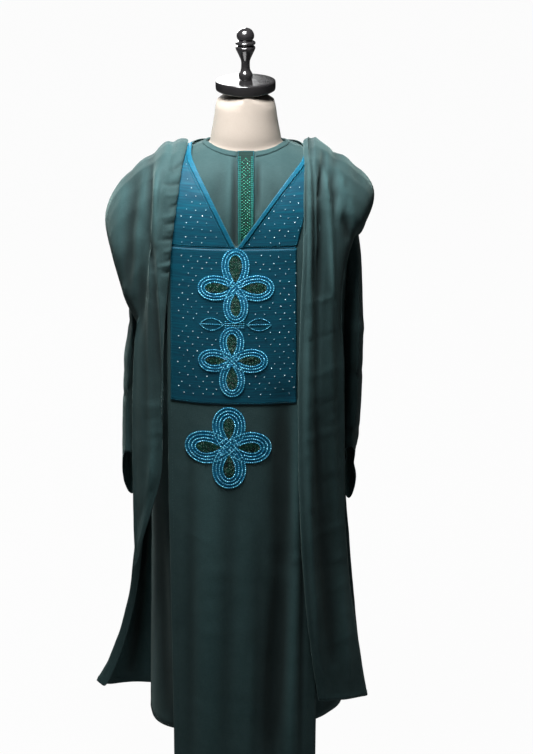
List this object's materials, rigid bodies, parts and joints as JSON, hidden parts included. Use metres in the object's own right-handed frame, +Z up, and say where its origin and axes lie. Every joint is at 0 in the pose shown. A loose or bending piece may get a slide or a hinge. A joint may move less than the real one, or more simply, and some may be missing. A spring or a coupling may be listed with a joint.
{
  "type": "grand boubou robe on a dress form",
  "caption": "Wide open-sided robe with a bound V neck and teal panel, its sides folded up on the shoulders over a matching long-sleeved tunic, shown on a limbless dress form.",
  "frame": {"origin": "middle of the stand's round underside, on the floor", "axes": "+Z up the dress form; -Y the way the front of the robe faces; +X to the right as seen from the front"},
  "size_m": [0.5951, 0.3424, 1.703],
  "materials": {
    "robe": "matt wool and mohair suiting, dark green teal",
    "tunic": "matt suiting, dark green teal",
    "teal": "plain teal cotton facing",
    "binding": "bright teal satin bias ribbon",
    "braid": "dark mesh braid with green sequins and beads",
    "linen": "cream linen stretched on the form",
    "lacquer": "glossy black lacquer",
    "steel": "dark brushed steel tube"
  },
  "bodies": {
    "root": {"robe_front": "robe", "robe_back": "robe", "robe_wing_left": "robe", "robe_wing_right": "robe", "tunic_front": "tunic", "tunic_back": "tunic", "tunic_sleeve_left": "tunic", "tunic_sleeve_right": "tunic", "tunic_neckband": "tunic", "bib_panel": "teal", "bib_upper_left": "teal", "bib_upper_right": "teal", "robe_binding_left": "binding", "robe_binding_right": "binding", "tunic_placket": "braid", "form_body": "linen", "form_cap": "lacquer", "form_finial": "lacquer", "form_base": "lacquer", "form_pole": "steel"}
  },
  "joints": []
}
